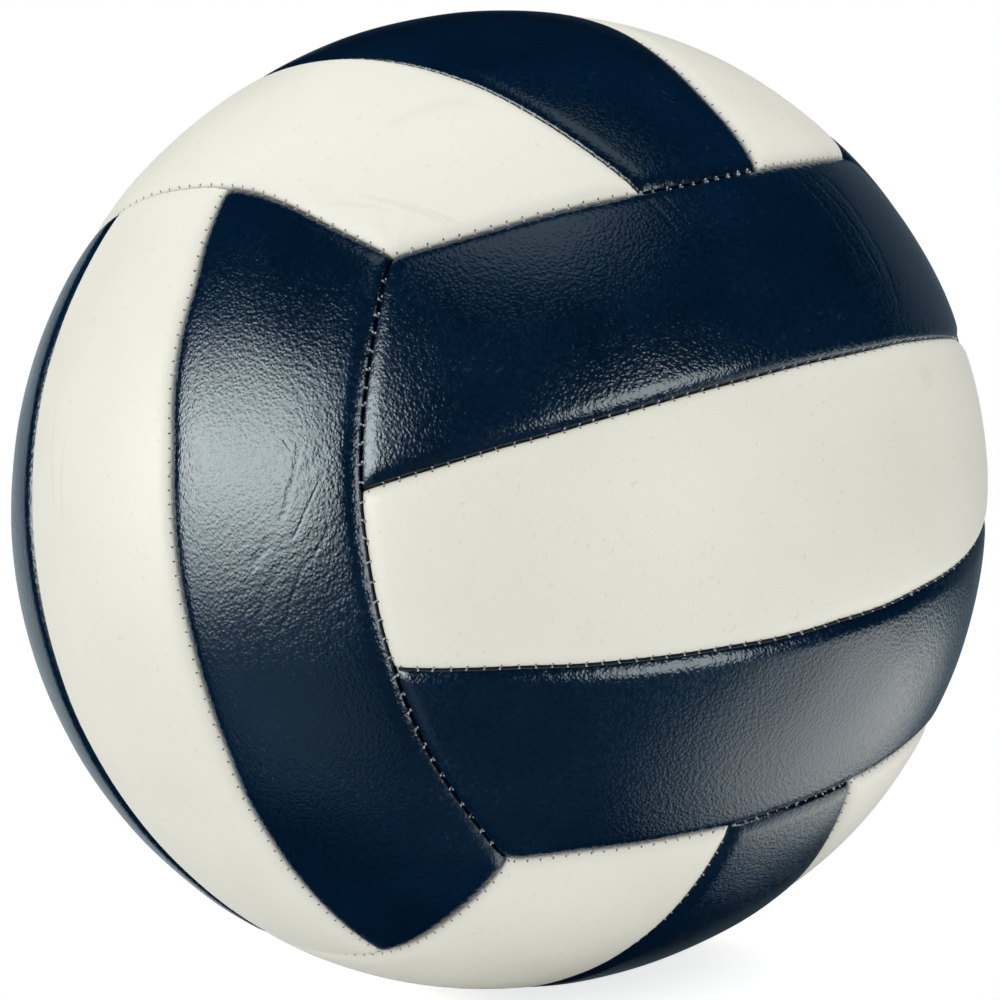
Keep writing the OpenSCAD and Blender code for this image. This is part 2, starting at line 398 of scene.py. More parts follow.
# Spacing of mesh points at a panel's edges, and its growth from one point to the next
EDGE_STEP = 0.16
EDGE_GROWTH = 1.2


def spaced(length, step):
    """Places from 0 to a length, close together at both ends and a step apart between them."""
    gaps = []
    gap = EDGE_STEP
    while gap < step:
        gaps.append(gap)
        gap *= EDGE_GROWTH
    left = length - 2 * sum(gaps)
    count = max(2, round(left / step))
    return np.concatenate([[0], np.cumsum(gaps + [left / count] * count + gaps[::-1])])


# Points tried along a panel to measure it
TRIES = 801


class Panel:
    """One strip of leather: the four seams round it, and points on it by their shares across."""

    def __init__(self, group, side):
        self.group = group[0]
        self.side = side
        self.turn = group_turn(group[1])
        if side == 0:
            self.sides = [strip_circle(self.group, -1), strip_circle(self.group, 1)]
            self.low, self.high = self.sides[0].plane(-1), self.sides[1].plane()
        else:
            self.sides = [strip_circle(self.group, side), long_circle(self.group, side)]
            planes = [circle.plane(side) for circle in self.sides]
            self.low, self.high = planes if side > 0 else planes[::-1]
        self.ends = [end_circle(self.group, way) for way in (-1, 1)]
        self.first, self.last = self.ends[0].plane(), self.ends[1].plane(-1)
        self.middle = [0, 0]
        self.half = [1, 1]

    def at(self, along, across):
        return crossing(between(self.first, self.last, along), between(self.low, self.high, across))

    def shares(self, axis, step):
        """Shares from -1 to 1 whose places are spaced in millimetres, between the panel's edges."""
        tries = np.linspace(-1, 1, TRIES)
        middle = np.zeros_like(tries)
        line = self.at(tries, middle) if axis == 0 else self.at(middle, tries)
        travel = np.append(0, np.cumsum(np.linalg.norm(np.diff(line, axis=0), axis=1))) * BALL_R
        places = spaced(travel[-1] - 2 * HALF_GAP, step) + HALF_GAP
        found = np.interp(places, travel, tries)
        self.middle[axis] = (found[0] + found[-1]) / 2
        self.half[axis] = travel[-1] / 2
        return found

    def seam_places(self, at):
        """For each point: distance to and stitches along the nearest side seam, then end seam."""
        found = []
        for circles in (self.sides, self.ends):
            away = np.stack([circle.distance(at) for circle in circles])
            along = np.stack([circle.stitches(at) for circle in circles])
            nearest = away.argmin(0)[None]
            found.append(np.take_along_axis(away, nearest, 0)[0])
            found.append(np.take_along_axis(along, nearest, 0)[0])
        return found

    def face(self, at):
        """For directions in the panel's axes: where they lie on the ball, and the leather's radius."""
        side_away, _, end_away, _ = self.seam_places(at)
        side_depth, end_depth = shoulder_depth(side_away), shoulder_depth(end_away)
        depth = (side_depth**2 + end_depth**2) ** 0.5
        for circle in self.sides + self.ends:
            depth = depth + pucker(circle, at)
        placed = pulled(at @ self.turn.T)
        return placed, BALL_R - depth + out_of_round(placed) + ripples(placed)

    def points(self, at, under=0):
        """Points at a depth under the leather's face."""
        placed, radius = self.face(at)
        return placed * (radius - under)[:, None]

    def inset(self, along, across, depth):
        """Shares drawn in towards the panel's middle by a depth in millimetres."""
        axes = zip((along, across), self.middle, self.half)
        return [middle + (value - middle) * (1 - depth / half) for value, middle, half in axes]


def grid_faces(columns, kept):
    """Quads of a grid of points, as indices, where kept says which of them there are."""
    row, column = np.nonzero(kept)
    corner = row * columns + column
    return np.stack([corner, corner + columns, corner + columns + 1, corner + 1], 1)


def rim_of(rows, columns):
    """Indices round the edge of a grid."""
    index = np.arange(rows * columns).reshape(rows, columns)
    return np.concatenate([index[:-1, 0], index[-1, :-1], index[:0:-1, -1], index[0, :0:-1]])


def ring_of(row, column, size, columns):
    """Indices round a square of a grid, size steps out from one of its points."""
    side = 2 * size + 1
    down, across = np.divmod(rim_of(side, side), side)
    return (row + down - size) * columns + column + across - size


def band(first, second):
    """Quads between two closed loops of the same length."""
    return np.stack([first, np.roll(first, -1), np.roll(second, -1), second], 1)


# Keeps the rings round the hole well inside the unit ball
RADIUS_CAP = 0.9


def open_hole(at, centre, rings, blended):
    """Moves a grid's points so that its square rings near the centre become circles."""
    rows, columns = at.shape[:2]
    down, across = np.meshgrid(
        np.arange(rows) - centre[0], np.arange(columns) - centre[1], indexing="ij"
    )
    ring = np.maximum(np.abs(down), np.abs(across))
    angle = np.arctan2(across, down)
    radius = np.minimum(HOLE_R * ring / rings / BALL_R, RADIUS_CAP)
    circle = np.stack([np.cos(angle) * radius, np.sin(angle) * radius, np.sqrt(1 - radius**2)], -1)
    blend = np.clip((ring - rings) / blended, 0, 1)
    blend = (blend * blend * (3 - 2 * blend))[..., None]
    return unit(circle * (1 - blend) + at * blend)


def has_valve(group, side):
    return group[0] == "back" and side == 0


def panel_grid(panel, group, step, inset, rings, blended):
    """Directions of a panel's points, the faces between them, and the ring round the valve."""
    along, across = panel.shares(0, step), panel.shares(1, step)
    at = panel.at(*panel.inset(*np.meshgrid(along, across, indexing="ij"), inset))
    rows, columns = at.shape[:2]
    kept = np.ones((rows - 1, columns - 1), bool)
    ring = np.array([], int)
    if has_valve(group, panel.side):
        centre = int(np.abs(along).argmin()), int(np.abs(across).argmin())
        at = open_hole(at, centre, rings, blended)
        kept[centre[0] - rings:centre[0] + rings, centre[1] - rings:centre[1] + rings] = False
        ring = ring_of(*centre, rings, columns)
    return along, across, at.reshape(-1, 3), grid_faces(columns, kept), ring


def flat_place(at):
    """Directions laid out flat, for joining points into faces."""
    return at[:, :2] / (1 + at[:, 2:])


def filled(at, loops, hole):
    """Triangles over points in the panel's axes, inside the first loop and outside the hole."""
    flat = flat_place(at)
    edges = [pair for loop in loops for pair in zip(loop.tolist(), np.roll(loop, -1).tolist())]
    done = delaunay_2d_cdt([Vector(point) for point in flat.tolist()], edges, [], 1, 1e-9)
    source = np.array([ids[0] for ids in done[3]])
    faces = np.array([[source[corner] for corner in face] for face in done[2]])
    if hole:
        centre = at[faces].mean(1)
        faces = faces[np.hypot(centre[:, 0], centre[:, 1]) * BALL_R > HOLE_R]
    return faces


def make_object(name, points, faces, material, numbers=None):
    """A mesh object from points in millimetres."""
    mesh = bpy.data.meshes.new(name)
    mesh.from_pydata((np.asarray(points) * MM).tolist(), [], faces)
    for label, values in (numbers or {}).items():
        layer = mesh.attributes.new(label, "FLOAT", "POINT")
        layer.data.foreach_set("value", np.asarray(values, np.float32))
    edit = bmesh.new()
    edit.from_mesh(mesh)
    loose = [vertex for vertex in edit.verts if not vertex.link_faces]
    bmesh.ops.delete(edit, geom=loose, context="VERTS")
    bmesh.ops.recalc_face_normals(edit, faces=edit.faces)
    edit.to_mesh(mesh)
    edit.free()
    mesh.polygons.foreach_set("use_smooth", [True] * len(mesh.polygons))
    mesh.materials.append(material)
    piece = bpy.data.objects.new(name, mesh)
    bpy.context.scene.collection.objects.link(piece)
    return piece


# The seam distance of points that the look of a seam must not reach
FAR = 40

# The square of mesh that the valve's hole opens from, and the reach over which it blends in
HOLE_SQUARE = 5
HOLE_BLEND = 9

# Points on the leather's inner side: their step, and how far they keep from its edges and the hole
INNER_STEP = 4
EDGE_CLEAR = 3
HOLE_CLEAR = 2

# The padding's mesh step, and the rings of it that make and blend in the valve's hole
PADDING_STEP = 3.4
PADDING_RINGS = (2, 3)


def leather_back(panel, along, across):
    """Directions of points on the leather's inner side, a few millimetres apart."""
    coarse = []
    for shares, axis in ((along, 0), (across, 1)):
        count = max(4, round(2 * panel.half[axis] / INNER_STEP))
        coarse.append(np.interp(np.linspace(0, 1, count), np.linspace(0, 1, len(shares)), shares)[1:-1])
    at = panel.at(*panel.inset(*np.meshgrid(*coarse, indexing="ij"), COVER_T)).reshape(-1, 3)
    side_away, _, end_away, _ = panel.seam_places(at)
    return at[np.minimum(side_away, end_away) > EDGE_CLEAR]


def leather_faces(faces, start, rim, back_at, loops, hole_ring):
    """Adds a leather's wall, hem and pocket from a start in its points, and its inner side."""
    wall_foot = start + np.arange(len(rim))
    hem = wall_foot + len(rim)
    pocket = hem + len(rim)
    back = filled(back_at, loops, len(hole_ring) > 0) + pocket[0]
    parts = [faces, band(rim, wall_foot), band(wall_foot, hem), band(hem, pocket), back]
    if len(hole_ring):
        parts.append(band(hole_ring, pocket[0] + loops[1]))
    return [face for part in parts for face in part.tolist()]


def seam_numbers(panel, at, count):
    """The seam places of points on the leather's face, made up to a count with ones far from a seam."""
    labels = ("side_away", "side_place", "end_away", "end_place")
    spare = np.full(count - len(at), FAR)
    return {label: np.append(values, spare) for label, values in zip(labels, panel.seam_places(at))}


def leather_object(group, side, material, step):
    """The leather of one strip: face, turned-in edges, hems and the side towards the foam."""
    panel = Panel(group, side)
    rings, blended = round(HOLE_SQUARE / step), round(HOLE_BLEND / step)
    along, across, at, faces, hole_ring = panel_grid(panel, group, step, 0, rings, blended)
    rim = rim_of(len(along), len(across))
    row, column = np.divmod(rim, len(across))
    inset = panel.at(*panel.inset(along[row], across[column], COVER_T))
    inside = leather_back(panel, along, across)
    loops = [np.arange(len(rim))]
    if len(hole_ring):
        inside = inside[np.hypot(inside[:, 0], inside[:, 1]) * BALL_R > HOLE_R + HOLE_CLEAR]
        loops.append(len(inset) + len(inside) + np.arange(len(hole_ring)))
    back_at = np.concatenate([inset, inside, at[hole_ring]])
    points = np.concatenate([
        panel.points(at),
        panel.face(at[rim])[0] * HEM_R,
        panel.face(inset)[0] * HEM_R,
        panel.points(back_at, COVER_T),
    ])
    faces = leather_faces(faces, len(at), rim, back_at, loops, hole_ring)
    name = f"{group[0]}_{strip_name(group, side)}"
    piece = make_object(f"{name}_leather", points, faces, material, seam_numbers(panel, at, len(points)))
    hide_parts(f"{name}_cover")
    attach(piece, "root")
    return piece


def padding_object(group, side, material):
    """The foam in the pocket of one strip's leather."""
    panel = Panel(group, side)
    depth = COVER_T + GLUE_T
    along, across, at, faces, hole_ring = panel_grid(panel, group, PADDING_STEP, depth, *PADDING_RINGS)
    below = len(at)
    rim = rim_of(len(along), len(across))
    points = np.concatenate([panel.points(at, depth), panel.face(at)[0] * FOAM_IN_R])
    faces = faces.tolist() + (faces + below).tolist() + band(rim, rim + below).tolist()
    if len(hole_ring):
        faces += band(hole_ring, hole_ring + below).tolist()
    name = f"{group[0]}_{strip_name(group, side)}"
    piece = make_object(f"{name}_padding", points, faces, material)
    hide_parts(f"{name}_foam")
    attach(piece, "root")


def strip_name(group, side):
    return "middle" if side == 0 else group[2] if side < 0 else group[3]


# Sewing thread

def strip_end(strip, end):
    """The angle round a strip seam at which it meets the seam across the strips' ends."""
    across = degrees_sin(strip[1]) * degrees_cos(strip[0]) * degrees_cos(end[0])
    along = degrees_sin(strip[1]) * degrees_sin(end[0])
    rest = degrees_cos(end[1]) + degrees_cos(strip[1]) * degrees_sin(strip[0]) * degrees_cos(end[0])
    return math.acos(rest / math.hypot(across, along)) - math.atan2(along, across)


def group_end(long):
    return math.acos(CORNER * (degrees_sin(long[0]) + degrees_cos(long[0])) / degrees_sin(long[1]))


# One crossing of the ladder stitch: shares of its half length across the seam, and depths
STITCH_HALF = 0.5
STITCH_SHARES = (-1.2, -1.0, -0.78, -0.42, 0, 0.42, 0.78, 1.0, 1.2)
STITCH_DEPTHS = (2.1, 1.4, 1.15, 2.3, 3.2, 2.3, 1.15, 1.4, 2.1)
TUBE_SIDES = 6

# Scatter of the stitches: along the seam, in their lean across it, and in their depth
PLACE_SCATTER = 0.12
LEAN_SCATTER = 0.25
LIFT_SCATTER = 0.08


def tube(path, radius):
    """Points and faces of a closed round tube along a path."""
    tangent = unit(np.gradient(path, axis=0))
    outward = unit(path)
    across = unit(np.cross(tangent, outward))
    upward = np.cross(across, tangent)
    angle = np.arange(TUBE_SIDES) * math.tau / TUBE_SIDES
    ring = across[:, None] * np.cos(angle)[:, None] + upward[:, None] * np.sin(angle)[:, None]
    points = (path[:, None] + ring * radius).reshape(-1, 3)
    faces = []
    for step in range(len(path) - 1):
        first = step * TUBE_SIDES + np.arange(TUBE_SIDES)
        faces += band(first, first + TUBE_SIDES).tolist()
    faces.append(list(range(TUBE_SIDES)))
    faces.append(list(range(len(points) - TUBE_SIDES, len(points)))[::-1])
    return points, faces


def ladder(circle, angle, sunk, turn):
    """The path of a thread that crosses its seam at each stitch, and runs under the leather between."""
    length = math.sin(circle.cone) * BALL_R
    first = math.ceil((THREAD_STOP - angle * length) / circle.pitch)
    last = math.floor((angle * length - THREAD_STOP) / circle.pitch)
    path = []
    for index in range(first, last + 1):
        way = 1 if index % 2 else -1
        place = index * circle.pitch + RANDOM.normal() * PLACE_SCATTER
        lean = RANDOM.normal() * LEAN_SCATTER
        lift = RANDOM.normal() * LIFT_SCATTER - sunk
        for share, depth in zip(STITCH_SHARES, STITCH_DEPTHS):
            turned = (place + lean * share) / length
            on_seam = circle.point(turned)
            along = unit(circle.start * math.cos(turned) - circle.middle * math.sin(turned))
            across = np.cross(along, on_seam)
            direction = unit(on_seam * BALL_R + across * way * share * STITCH_HALF)
            path.append(direction * (BALL_R - depth + lift))
    path = np.array(path) @ turn.T
    placed = pulled(unit(path))
    return placed * (np.linalg.norm(path, axis=1) + out_of_round(placed))[:, None]


def thread_object(name, node, seams, material):
    points, faces = [], []
    for seam_line in seams:
        new_points, new_faces = tube(ladder(*seam_line), THREAD_R)
        start = sum(len(part) for part in points)
        points.append(new_points)
        faces += [[corner + start for corner in face] for face in new_faces]
    piece = make_object(name, np.concatenate(points), faces, material)
    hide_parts(node)
    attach(piece, "root")


def strip_seams():
    for name, angles, *_ in GROUPS:
        for side in (-1, 1):
            end = min(strip_end(strip_seam(name), end_seam(name, way)) for way in (-1, 1))
            yield strip_circle(name, side), end, THREAD_SUNK, group_turn(angles)


def group_seams():
    for name, angles, *_ in GROUPS:
        for side in (-1, 1):
            sunk = LEFT_THREAD_SUNK if (name, side) == ("left", -1) else THREAD_SUNK
            yield long_circle(name, side), group_end(long_seam(name)), sunk, group_turn(angles)


# Materials

class Nodes:
    """A short way to write a material's nodes."""

    def __init__(self, name):
        self.material = bpy.data.materials.new(name)
        self.material.use_nodes = True
        self.tree = self.material.node_tree
        self.shader = self.tree.nodes["Principled BSDF"]

    @classmethod
    def of_tree(cls, tree):
        """The same for a tree that isn't a material's, emptied."""
        nodes = cls.__new__(cls)
        nodes.tree = tree
        tree.nodes.clear()
        return nodes

    def put(self, value, socket):
        if isinstance(value, bpy.types.NodeSocket):
            self.tree.links.new(value, socket)
        else:
            socket.default_value = value

    def add(self, kind, inputs=(), **settings):
        node = self.tree.nodes.new(kind)
        for key, value in settings.items():
            setattr(node, key, value)
        for key, value in dict(inputs).items():
            self.put(value, node.inputs[key])
        return node

    def maths(self, operation, first, second=0.0):
        return self.add("ShaderNodeMath", {0: first, 1: second}, operation=operation).outputs[0]

    def times(self, first, second):
        return self.maths("MULTIPLY", first, second)

    def vector(self, operation, *values):
        node = self.add("ShaderNodeVectorMath", dict(enumerate(values)), operation=operation)
        return node.outputs["Value" if operation in ("DOT_PRODUCT", "LENGTH") else "Vector"]

    def ranged(self, value, low, high, to_low=0.0, to_high=1.0, smooth=False):
        inputs = {"Value": value, "From Min": low, "From Max": high, "To Min": to_low, "To Max": to_high}
        kind = "SMOOTHSTEP" if smooth else "LINEAR"
        return self.add("ShaderNodeMapRange", inputs, interpolation_type=kind).outputs[0]

    def mixed(self, share, first, second):
        node = self.add("ShaderNodeMix", data_type="RGBA")
        for index, value in ((0, share), (6, first), (7, second)):
            self.put(value, node.inputs[index])
        return node.outputs[2]

    def either(self, share, first, second):
        inputs = {0: share, 1: first.outputs[0], 2: second.outputs[0]}
        return self.add("ShaderNodeMixShader", inputs)

    def number(self, name):
        return self.add("ShaderNodeAttribute", attribute_name=name).outputs["Fac"]

    def place(self, scale=(1, 1, 1), turn=(0, 0, 0)):
        coordinates = self.add("ShaderNodeTexCoord").outputs["Object"]
        return self.add(
            "ShaderNodeMapping", {"Vector": coordinates, "Scale": scale, "Rotation": turn}
        ).outputs[0]

    def noise(self, scale, detail=2.0, roughness=0.5, vector=None):
        inputs = {"Scale": scale, "Detail": detail, "Roughness": roughness}
        inputs["Vector"] = vector if vector is not None else self.place()
        return self.add("ShaderNodeTexNoise", inputs).outputs["Fac"]

    def cells(self, scale, vector=None, feature="F1"):
        inputs = {"Scale": scale}
        inputs["Vector"] = vector if vector is not None else self.place()
        return self.add("ShaderNodeTexVoronoi", inputs, feature=feature).outputs["Distance"]

    def bump(self, height, strength, distance, normal=None):
        inputs = {"Height": height, "Strength": strength, "Distance": distance}
        if normal is not None:
            inputs["Normal"] = normal
        return self.add("ShaderNodeBump", inputs).outputs[0]

    def finish(self, **sockets):
        for key, value in sockets.items():
            self.put(value, self.shader.inputs[key.replace("_", " ")])
        return self.material


def grey(value):
    return value, value, value, 1


# How far the needle holes lie from the middle of their seam
HOLE_AWAY = 0.52


def needle_hole_shade(nodes):
    """1 in the small holes that the stitches pass through, from the seam numbers of the mesh; the mesh has
    no holes there, and their shade is painted.
    """
    found = []
    for away, place in (("side_away", "side_place"), ("end_away", "end_place")):
        along = nodes.times(nodes.maths("PINGPONG", nodes.number(place), 0.5), PITCH)
        across = nodes.maths("SUBTRACT", nodes.number(away), HOLE_AWAY)
        squares = nodes.maths("ADD", nodes.maths("POWER", along, 2), nodes.maths("POWER", across, 2))
        found.append(nodes.ranged(squares, 0.06, 0.015))
    return nodes.maths("MAXIMUM", *found)


def seam_shade(nodes, reach):
    """The mask of painted seam shade: 1 at the seams, and 0 from a reach away from them."""
    nearest = nodes.maths("MINIMUM", nodes.number("side_away"), nodes.number("end_away"))
    return nodes.ranged(nearest, reach, HALF_GAP, smooth=True)


# How a pebbled grain of 1 mm is bent out of line: the scale and the reach in metres
BEND_SCALE = 700
BEND_REACH = 0.0009


def leather_grain(nodes, size, stretch):
    """A pebbled grain of a size in millimetres: its height, and 1 in the clefts between pebbles."""
    place = nodes.place(stretch, (0.5, 0.3, 0.7))
    bend = nodes.add("ShaderNodeTexNoise", {"Vector": place, "Scale": BEND_SCALE / size, "Detail": 1.0})
    moved = nodes.vector("MULTIPLY", bend.outputs["Color"], (BEND_REACH * size,) * 3)
    place = nodes.vector("ADD", place, moved)
    pebbles = nodes.ranged(nodes.cells(1000 / size, place), 0.75, 0.05, smooth=True)
    clefts = nodes.ranged(nodes.cells(1000 / size, place, "DISTANCE_TO_EDGE"), 0.1, 0.01)
    height = nodes.maths("ADD", nodes.times(pebbles, 0.6), nodes.times(bend.outputs["Fac"], 0.8))
    return height, clefts


# Creases in the leather: three pixels they run through, their depth from 0 to 1, and half width
NAVY_CREASES = (
    (((301, 435), (292, 484), (276, 532)), 1.0, 0.5),
    (((325, 448), (312, 465), (294, 482)), 0.7, 0.45),
    (((322, 478), (307, 509), (289, 550)), 0.6, 0.5),
    (((270, 536), (261, 554), (249, 572)), 0.8, 0.5),
    (((282, 437), (287, 445), (292, 453)), 0.6, 0.35),
    (((334, 520), (318, 548), (300, 572)), 0.4, 0.4),
    (((284, 560), (268, 592), (258, 630)), 0.5, 0.7),
    (((306, 560), (292, 598), (280, 640)), 0.45, 0.7),
    (((642, 196), (660, 214), (682, 242)), 0.8, 0.6),
    (((655, 190), (676, 212), (700, 240)), 0.6, 0.6),
    (((785, 170), (832, 222), (872, 292)), 0.8, 0.7),
    (((801, 172), (850, 228), (888, 300)), 0.6, 0.6),
    (((818, 176), (868, 240), (902, 342)), 0.7, 0.7),
)
WHITE_CREASES = (
    (((372, 196), (384, 226), (392, 250)), 0.25, 0.9),
    (((420, 200), (408, 224), (396, 248)), 0.25, 0.9),
    (((921, 362), (924, 378), (930, 392)), 0.6, 0.6),
    (((57, 385), (53, 455), (58, 530)), 0.7, 0.8),
    (((66, 430), (62, 480), (66, 540)), 0.5, 0.7),
    (((350, 193), (405, 207), (452, 227)), 0.7, 0.8),
    (((322, 201), (360, 205), (398, 213)), 0.5, 0.8),
    (((395, 201), (430, 212), (462, 226)), 0.6, 0.7),
    (((380, 131), (428, 109), (476, 101)), 0.5, 0.8),
)

# How far a crease wavers and how deep it is, in metres
CREASE_BEND = 0.0012
CREASE_DROP = 0.00016


def creases(nodes, arcs):
    """1 along the deepest creases, each an arc of a circle on the ball that wavers a little."""
    place = nodes.place()
    waver = nodes.add("ShaderNodeTexNoise", {"Vector": place, "Scale": 300, "Detail": 2.0}).outputs["Color"]
    place = nodes.vector("ADD", place, nodes.vector("MULTIPLY", waver, (CREASE_BEND,) * 3))
    place = nodes.vector("NORMALIZE", nodes.vector("SUBTRACT", place, (CREASE_BEND / 2,) * 3))
    deepest = 0.0
    for pixels, depth, width in arcs:
        first, middle, last = (on_ball(pixel) for pixel in pixels)
        axis = unit(np.cross(middle - first, last - middle))
        along_axis = nodes.vector("DOT_PRODUCT", place, axis)
        off = nodes.maths("ABSOLUTE", nodes.maths("SUBTRACT", along_axis, axis @ middle))
        valley = nodes.ranged(off, width / BALL_R, 0, 0, depth, smooth=True)
        reach = (1 - middle @ first + 1 - middle @ last) / 2
        nearness = nodes.vector("DOT_PRODUCT", place, middle)
        near = nodes.ranged(nearness, 1 - reach, 1 - 0.3 * reach, smooth=True)
        deepest = nodes.maths("MAXIMUM", nodes.times(valley, near), deepest)
    return deepest


# Where the leather is drawn into fine wrinkles: two pixels along one of them, their reach, their
# width and how many times as long they are, and their height next to the grain's
WRINKLE_PIXELS = ((262, 604), (318, 566))
WRINKLE_REACH = 22
WRINKLE_SIZE = 1.3
WRINKLE_STRETCH = 4
WRINKLE_HEIGHT = 1.4


def wrinkles(nodes):
    """Height of long narrow wrinkles that fade out with the distance from their middle."""
    first, last = (on_ball(pixel) for pixel in WRINKLE_PIXELS)
    middle, along = unit(first + last), unit(last - first)
    axes = Matrix(np.stack([along, np.cross(middle, along), middle], 1).tolist())
    coordinates = nodes.add("ShaderNodeTexCoord").outputs["Object"]
    drawn_out = nodes.add(
        "ShaderNodeMapping",
        {"Vector": coordinates, "Rotation": axes.to_euler(), "Scale": (WRINKLE_STRETCH, 1, 1)},
        vector_type="TEXTURE",
    ).outputs[0]
    height = nodes.noise(1000 / WRINKLE_SIZE, 1.0, 0.5, drawn_out)
    nearness = nodes.vector("DOT_PRODUCT", nodes.vector("NORMALIZE", coordinates), middle)
    reach = WRINKLE_REACH / BALL_R
    near = nodes.ranged(nearness, math.cos(reach), math.cos(0.3 * reach), smooth=True)
    return nodes.times(nodes.maths("SUBTRACT", height, 0.5), near)


# The leathers: two tones of each, the colours of its details, the grain's size in millimetres and
# its height in metres. Some detail colours are painted shade: in the navy's grain lows, in the white's
# clefts and creases, in the needle holes and towards the seams of both
NAVY_TONES = ((0.0002, 0.0085, 0.025, 1), (0.0004, 0.0125, 0.037, 1))
NAVY_LOW_SHADE = (0.0002, 0.003, 0.01, 1)
NAVY_SCUFFS = (0.06, 0.09, 0.13, 1)
NAVY_SEAM_SHADE = (0.0003, 0.001, 0.003, 1)
NAVY_GRAIN = 0.75
NAVY_GRAIN_HEIGHT = 0.00012
WHITE_TONES = ((0.825, 0.82, 0.725, 1), (0.85, 0.845, 0.755, 1))
WHITE_CLEFT_SHADE = (0.6, 0.58, 0.49, 1)
WHITE_CREASE_SHADE = (0.62, 0.6, 0.51, 1)
WHITE_SPECKS = (0.42, 0.4, 0.33, 1)
WHITE_SEAM_SHADE = (0.45, 0.38, 0.3, 1)
WHITE_HOLE_SHADE = (0.02, 0.016, 0.014, 1)
WHITE_GRAIN = 0.55
WHITE_GRAIN_HEIGHT = 0.0001


def navy_leather():
    nodes = Nodes("navy_leather")
    grain, clefts = leather_grain(nodes, NAVY_GRAIN, (1, 1, 0.9))
    grain = nodes.maths("ADD", grain, nodes.times(wrinkles(nodes), WRINKLE_HEIGHT))
    crease = creases(nodes, NAVY_CREASES)
    cloud = nodes.noise(38, 2.0, 0.55)
    clouded = nodes.ranged(cloud, 0.3, 0.7)
    colour = nodes.mixed(clouded, *NAVY_TONES)
    # Painted shade: the grain's low parts between the pebbles are darkened
    shaded_lows = nodes.ranged(grain, 0.6, 0.35, 0, 0.4)
    colour = nodes.mixed(shaded_lows, colour, NAVY_LOW_SHADE)
    specks = nodes.ranged(nodes.noise(900, 0.0), 0.7, 0.76)
    scuffed = nodes.ranged(cloud, 0.5, 0.62, 0, 0.12)
    colour = nodes.mixed(nodes.times(specks, scuffed), colour, NAVY_SCUFFS)
    # Painted shade: the leather darkens towards the seams, where the grooves lie in shade
    shade = nodes.times(seam_shade(nodes, 0.9), 0.6)
    colour = nodes.mixed(shade, colour, NAVY_SEAM_SHADE)
    # Painted shade: the needle holes are dark spots in the colour
    colour = nodes.mixed(needle_hole_shade(nodes), colour, grey(0.0005))
    drawn_in = nodes.bump(nodes.maths("SUBTRACT", 1.0, crease), 0.5, CREASE_DROP)
    cleft = nodes.maths("SUBTRACT", grain, nodes.times(clefts, 0.07))
    return nodes.finish(
        Base_Color=colour,
        Roughness=nodes.ranged(clouded, 0, 1, 0.14, 0.19),
        IOR=1.65,
        Specular_Tint=(0.84, 0.95, 1, 1),
        Normal=nodes.bump(cleft, 0.5, NAVY_GRAIN_HEIGHT, drawn_in),
    )


def white_leather():
    nodes = Nodes("white_leather")
    grain, clefts = leather_grain(nodes, WHITE_GRAIN, (1, 1, 0.75))
    cloud = nodes.noise(30, 2.0, 0.6)
    colour = nodes.mixed(nodes.ranged(cloud, 0.3, 0.7), *WHITE_TONES)
    # Painted shade: the clefts between the pebbles are darkened
    colour = nodes.mixed(nodes.times(clefts, 0.13), colour, WHITE_CLEFT_SHADE)
    crease = creases(nodes, WHITE_CREASES)
    # Painted shade: the creases are darkened along their lines
    colour = nodes.mixed(nodes.times(crease, 0.3), colour, WHITE_CREASE_SHADE)
    specks = nodes.ranged(nodes.noise(900, 0.0), 0.76, 0.82, 0, 0.14)
    colour = nodes.mixed(specks, colour, WHITE_SPECKS)
    # Painted shade, tinted warm: the leather darkens towards the seams, where the grooves lie in shade
    colour = nodes.mixed(nodes.times(seam_shade(nodes, 0.3), 0.15), colour, WHITE_SEAM_SHADE)
    # Painted shade: the needle holes are dark spots in the colour
    colour = nodes.mixed(needle_hole_shade(nodes), colour, WHITE_HOLE_SHADE)
    drawn_in = nodes.bump(nodes.maths("SUBTRACT", 1.0, crease), 0.5, CREASE_DROP)
    return nodes.finish(
        Base_Color=colour,
        Roughness=nodes.ranged(cloud, 0.3, 0.7, 0.38, 0.48),
        IOR=1.42,
        Normal=nodes.bump(grain, 0.45, WHITE_GRAIN_HEIGHT, drawn_in),
    )


def sewing_thread():
    nodes = Nodes("sewing_thread")
    strands = nodes.add(
        "ShaderNodeTexWave",
        {"Vector": nodes.place((1, 1, 1), (0.6, 0.4, 0.2)), "Scale": 900, "Distortion": 2.0, "Detail": 1.0},
    ).outputs["Fac"]
    colour = nodes.mixed(strands, (0.34, 0.4, 0.44, 1), (0.62, 0.67, 0.68, 1))
    return nodes.finish(Base_Color=colour, Roughness=0.6, Normal=nodes.bump(strands, 0.5, 0.00005))


def soft_rubber(name, dark, light, rough, scale):
    nodes = Nodes(name)
    cloud = nodes.noise(scale, 4.0, 0.6)
    dust = nodes.noise(scale * 9, 2.0, 0.6)
    colour = nodes.mixed(nodes.ranged(cloud, 0.35, 0.7), dark, light)
    return nodes.finish(
        Base_Color=colour,
        Roughness=nodes.ranged(dust, 0.3, 0.7, rough, rough + 0.15),
        Normal=nodes.bump(dust, 0.25, 0.00006),
    )


def open_foam():
    nodes = Nodes("open_foam")
    cells = nodes.cells(1500)
    colour = nodes.mixed(nodes.ranged(cells, 0.1, 0.6), (0.5, 0.5, 0.46, 1), (0.78, 0.77, 0.7, 1))
    return nodes.finish(Base_Color=colour, Roughness=0.85, Normal=nodes.bump(cells, 0.6, 0.0002))


